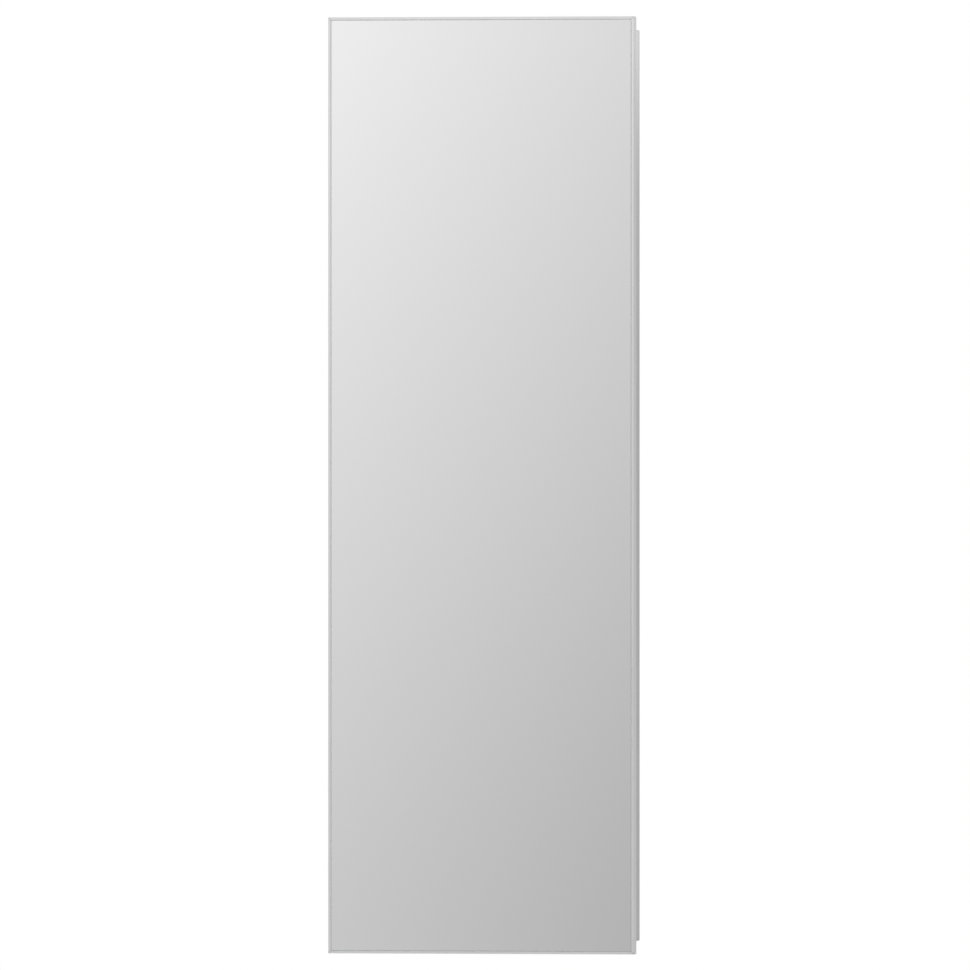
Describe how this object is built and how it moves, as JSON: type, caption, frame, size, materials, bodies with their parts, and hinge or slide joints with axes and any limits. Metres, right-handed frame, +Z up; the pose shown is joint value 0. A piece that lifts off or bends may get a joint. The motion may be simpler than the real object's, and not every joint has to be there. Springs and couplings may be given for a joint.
{
  "type": "wall-hung mirror cabinet",
  "caption": "Tall narrow wall-hung mirror cabinet with a framed mirror door on a full-length side hinge, glass shelves inside and a hidden wall rail.",
  "frame": {"origin": "middle of the rear brace's flat face, on the wall plane, at the body's mid height and mid width", "axes": "+X to the right as seen from the front, +Y into the wall, +Z up; the door faces -Y"},
  "size_m": [0.3, 0.135, 0.912],
  "materials": {
    "body_paint": "satin light grey powder coat",
    "frame_metal": "bright polished and anodised",
    "mirror": "silvered glass, ground arris",
    "shelf_glass": "clear float glass with polished edges",
    "door_board": "moisture-proof board, sealed edges",
    "strip_metal": "satin anodised",
    "hinge_steel": "brushed stainless",
    "zinc_steel": "zinc plated",
    "clear_plastic": "translucent moulded",
    "white_plastic": "white moulded",
    "bumper_rubber": "soft grey"
  },
  "bodies": {
    "cabinet": {"side_left": "body_paint", "side_right": "body_paint", "top_panel": "body_paint", "bottom_panel": "body_paint", "back_panel": "body_paint", "corner_top_left": "zinc_steel", "corner_top_right": "zinc_steel", "corner_bottom_left": "zinc_steel", "corner_bottom_right": "zinc_steel", "rear_brace": "zinc_steel", "wall_rail": "zinc_steel", "hanger_left": "zinc_steel", "hanger_right": "zinc_steel", "lock_screw_left": "zinc_steel", "lock_screw_right": "zinc_steel", "hanger_cover_left": "white_plastic", "hanger_cover_right": "white_plastic", "catch_magnet_top": "white_plastic", "catch_magnet_bottom": "white_plastic", "shelf_strip_front_left": "strip_metal", "shelf_strip_front_right": "strip_metal", "shelf_strip_rear_left": "strip_metal", "shelf_strip_rear_right": "strip_metal", "shelf_1": "shelf_glass", "shelf_2": "shelf_glass", "shelf_3": "shelf_glass", "shelf_1_clip_front_left": "clear_plastic", "shelf_1_clip_front_right": "clear_plastic", "shelf_1_clip_rear_left": "clear_plastic", "shelf_1_clip_rear_right": "clear_plastic", "shelf_2_clip_front_left": "clear_plastic", "shelf_2_clip_front_right": "clear_plastic", "shelf_2_clip_rear_left": "clear_plastic", "shelf_2_clip_rear_right": "clear_plastic", "shelf_3_clip_front_left": "clear_plastic", "shelf_3_clip_front_right": "clear_plastic", "shelf_3_clip_rear_left": "clear_plastic", "shelf_3_clip_rear_right": "clear_plastic", "hinge_leaf_body": "hinge_steel", "hinge_pin": "hinge_steel"},
    "door": {"hinge_leaf_door": "hinge_steel", "frame_left": "frame_metal", "frame_top": "frame_metal", "frame_right": "frame_metal", "frame_bottom": "frame_metal", "front_mirror": "mirror", "rear_mirror": "mirror", "door_core": "door_board", "strike_plate_top": "zinc_steel", "strike_plate_bottom": "zinc_steel", "bumper_top": "bumper_rubber", "bumper_bottom": "bumper_rubber"}
  },
  "joints": [
    {"name": "door_swing", "type": "hinge", "parent": "cabinet", "child": "door", "pos_m": [-0.1431, -0.1125, 0], "axis": [0, 0, -1], "range_deg": [0, 120]}
  ]
}
